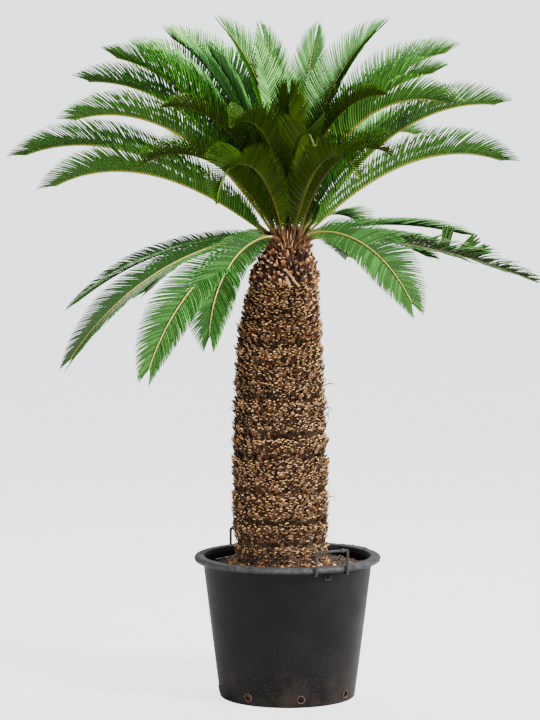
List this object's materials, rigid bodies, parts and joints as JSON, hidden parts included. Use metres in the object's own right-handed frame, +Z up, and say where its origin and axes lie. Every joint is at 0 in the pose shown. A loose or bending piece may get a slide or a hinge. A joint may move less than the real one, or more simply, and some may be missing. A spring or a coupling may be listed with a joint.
{
  "type": "potted sago palm",
  "caption": "Sago palm with a full crown of arching, comb-like fronds on a thick ringed trunk, standing in a round tapered nursery pot with lifting grips.",
  "frame": {"origin": "centre of the pot's flat underside", "axes": "+Z up along the trunk, +X to the right and -Y toward the viewer of the picture"},
  "size_m": [1.909, 1.3426, 2.3899],
  "materials": {
    "pot_plastic": "charcoal moulded plastic, satin, dusty near the foot",
    "soil": "dark crumbly potting mix with bits of bark",
    "bark": "rough brown scales of old leaf bases",
    "young_leaf": "yellow-green leaf, satin",
    "mature_leaf": "deep green leaf, satin, paler back",
    "old_leaf": "mid green leaf, satin, greyish tips"
  },
  "bodies": {
    "root": {"grip_back_left": "pot_plastic", "grip_front_right": "pot_plastic", "mature_frond_01": "mature_leaf", "mature_frond_02": "mature_leaf", "mature_frond_03": "mature_leaf", "mature_frond_04": "mature_leaf", "mature_frond_05": "mature_leaf", "mature_frond_06": "mature_leaf", "mature_frond_07": "mature_leaf", "mature_frond_08": "mature_leaf", "mature_frond_09": "mature_leaf", "mature_frond_10": "mature_leaf", "mature_frond_11": "mature_leaf", "mature_frond_12": "mature_leaf", "mature_frond_13": "mature_leaf", "mature_frond_14": "mature_leaf", "mature_frond_15": "mature_leaf", "mature_frond_16": "mature_leaf", "mature_frond_17": "mature_leaf", "mature_frond_18": "mature_leaf", "old_frond_01": "old_leaf", "old_frond_02": "old_leaf", "old_frond_03": "old_leaf", "old_frond_04": "old_leaf", "old_frond_05": "old_leaf", "old_frond_06": "old_leaf", "old_frond_07": "old_leaf", "old_frond_08": "old_leaf", "old_frond_09_base": "old_leaf", "old_frond_09_tip": "old_leaf", "old_frond_10": "old_leaf", "old_frond_11": "old_leaf", "old_frond_12": "old_leaf", "old_frond_13": "old_leaf", "pot": "pot_plastic", "soil": "soil", "trunk": "bark", "young_frond_01_base": "young_leaf", "young_frond_01_tip": "young_leaf", "young_frond_02_base": "young_leaf", "young_frond_02_tip": "young_leaf", "young_frond_03": "young_leaf", "young_frond_04_base": "young_leaf", "young_frond_04_tip": "young_leaf", "young_frond_05_base": "young_leaf", "young_frond_05_tip": "young_leaf", "young_frond_06": "young_leaf", "young_frond_07": "young_leaf", "young_frond_08": "young_leaf", "young_frond_09_base": "young_leaf", "young_frond_09_tip": "young_leaf", "young_frond_10": "young_leaf", "young_frond_11": "young_leaf", "young_frond_12": "young_leaf", "young_frond_13": "young_leaf", "young_frond_14_base": "young_leaf", "young_frond_14_tip": "young_leaf", "young_frond_15_base": "young_leaf", "young_frond_15_tip": "young_leaf", "young_frond_16": "young_leaf"}
  },
  "joints": []
}
